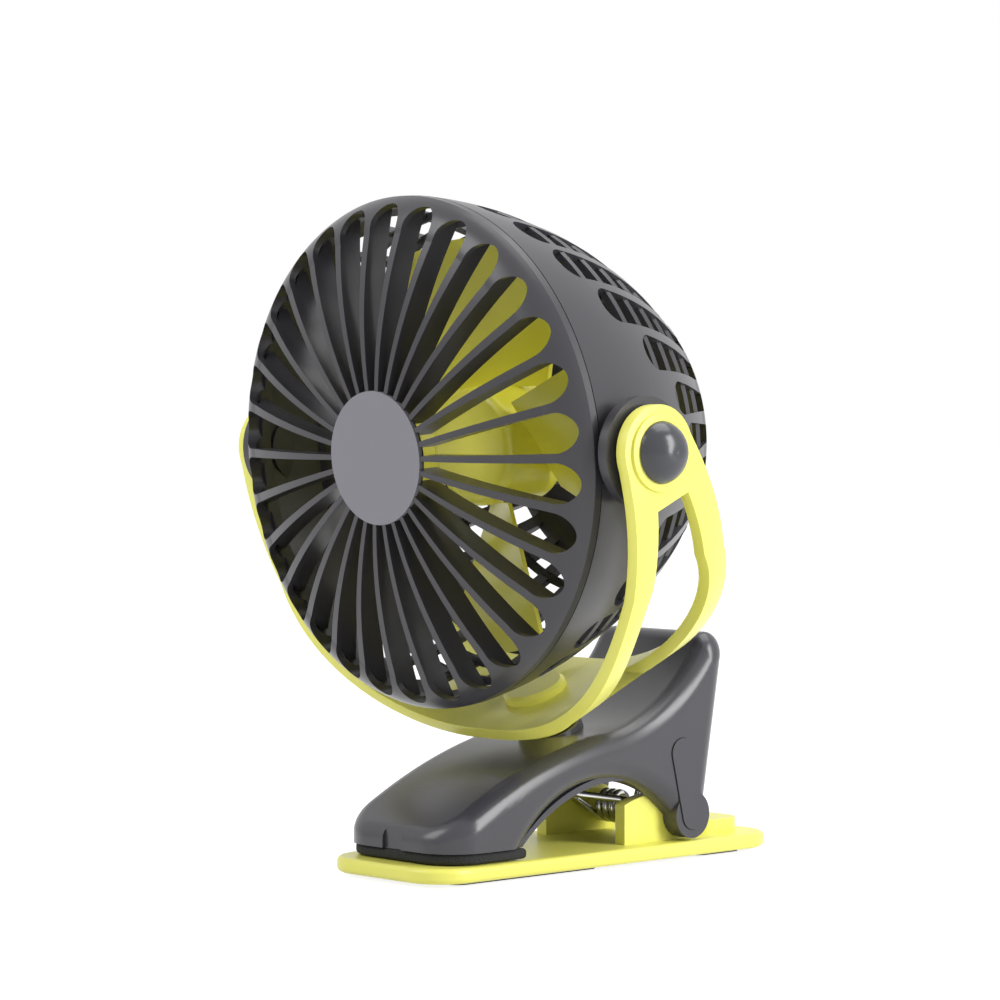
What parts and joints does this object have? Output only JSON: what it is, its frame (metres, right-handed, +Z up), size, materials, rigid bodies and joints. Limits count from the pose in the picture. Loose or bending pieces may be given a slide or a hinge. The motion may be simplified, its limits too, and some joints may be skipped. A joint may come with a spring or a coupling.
{
  "type": "portable camping fan",
  "caption": "Battery clamp fan: round guarded fan head tilting in a U-shaped yoke that swivels on a spring clamp with a long foot plate.",
  "frame": {"origin": "on the surface that the rubber feet stand on, in the clamp's middle plane, under the middle of the foot plate's pivoting jaw", "axes": "+Z up; -Y is the way the fan and the clamp's nose face; +X to the viewer's right seen from the front"},
  "size_m": [0.182, 0.1443, 0.197],
  "materials": {
    "yellow_plastic": "satin",
    "grey_plastic": "satin",
    "blade_plastic": "semi-translucent gloss",
    "badge_plastic": "fine satin",
    "knob_plastic": "satin",
    "foam_rubber": "matte foam",
    "foot_rubber": "matte",
    "steel": "bright",
    "spring_steel": "polished",
    "motor_steel": "satin",
    "motor_magnet": "matt",
    "bronze": "satin",
    "black_plastic": "satin",
    "board": "solder mask",
    "cell_wrap": "foil",
    "lens": "clear"
  },
  "bodies": {
    "base": {"base_plate": "yellow_plastic", "rubber_foot_front": "foot_rubber", "rubber_foot_rear": "foot_rubber", "hinge_pin": "steel", "torsion_spring": "spring_steel"},
    "jaw": {"jaw_upper_shell": "grey_plastic", "jaw_lower_cover": "grey_plastic", "nose_pad": "foam_rubber", "side_cover_left": "grey_plastic", "side_cover_right": "grey_plastic", "battery_cell": "cell_wrap", "circuit_board": "board", "tact_switch": "black_plastic", "usb_socket": "steel", "indicator_lens": "lens", "swivel_pin": "steel"},
    "button": {"speed_button": "black_plastic"},
    "yoke": {"yoke": "yellow_plastic", "swivel_cap": "yellow_plastic"},
    "head": {"front_grille": "grey_plastic", "grille_centre_disc": "badge_plastic", "rear_housing": "grey_plastic", "pivot_knob_left": "knob_plastic", "pivot_knob_right": "knob_plastic", "friction_washer_left": "black_plastic", "friction_washer_right": "black_plastic", "motor_can": "motor_steel", "motor_end_cap": "black_plastic", "bearing_front": "bronze", "bearing_rear": "bronze", "motor_magnet": "motor_magnet"},
    "rotor": {"impeller": "blade_plastic", "motor_shaft": "steel", "motor_rotor": "motor_steel"}
  },
  "joints": [
    {"name": "jaw_open", "type": "hinge", "parent": "base", "child": "jaw", "pos_m": [0, 0.038, 0.0134], "axis": [-1, 0, 0], "range_deg": [0, 28], "stiffness_Nm_per_rad": 0.9, "springref_deg": -34.38, "deforming": ["torsion_spring"]},
    {"name": "button_press", "type": "slide", "parent": "jaw", "child": "button", "axis": [0, -0.986, 0.167], "range_m": [0, 0.0008], "stiffness_N_per_m": 150},
    {"name": "yoke_swivel", "type": "hinge", "parent": "jaw", "child": "yoke", "pos_m": [0, -0.036, 0.124], "axis": [0, -0.4067, 0.9135], "range_deg": [-175, 175]},
    {"name": "head_tilt", "type": "hinge", "parent": "yoke", "child": "head", "pos_m": [0, -0.036, 0.124], "axis": [1, 0, 0], "range_deg": [-90, 90]},
    {"name": "fan_spin", "type": "hinge", "parent": "head", "child": "rotor", "pos_m": [0, -0.036, 0.124], "axis": [0, -0.9972, -0.075], "continuous": true}
  ]
}
